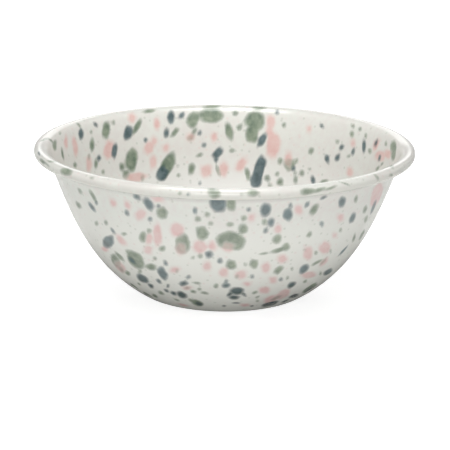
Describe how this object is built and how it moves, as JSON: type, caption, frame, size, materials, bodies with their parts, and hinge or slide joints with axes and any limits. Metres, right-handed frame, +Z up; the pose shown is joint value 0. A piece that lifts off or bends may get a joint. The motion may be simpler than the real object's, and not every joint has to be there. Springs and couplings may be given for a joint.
{
  "type": "serving bowl",
  "caption": "Round enamelled steel serving bowl with a curved wall, an outward-rolled rim bead and a flat standing ring, cream with splattered spots of pink, sage and slate.",
  "frame": {"origin": "on the table plane, under the middle of the bowl", "axes": "+Z up along the bowl's axis of revolution, X and Y level"},
  "size_m": [0.2, 0.2, 0.081],
  "materials": {
    "steel": "pickled low-carbon steel sheet, covered all over by enamel",
    "ground_enamel": "thin dark bonding enamel, covered by the cover coat",
    "cream_enamel": "glossy fired cream enamel with soft ripple",
    "pink_enamel": "glossy pink enamel spots, fired on",
    "sage_enamel": "glossy sage-green enamel spots, fired on",
    "slate_enamel": "glossy slate-blue enamel spots, fired on"
  },
  "bodies": {
    "root": {"steel_pressing": "steel", "inner_ground_coat": "ground_enamel", "inner_cover_coat": "cream_enamel", "outer_ground_coat": "ground_enamel", "outer_cover_coat": "cream_enamel"}
  },
  "joints": []
}
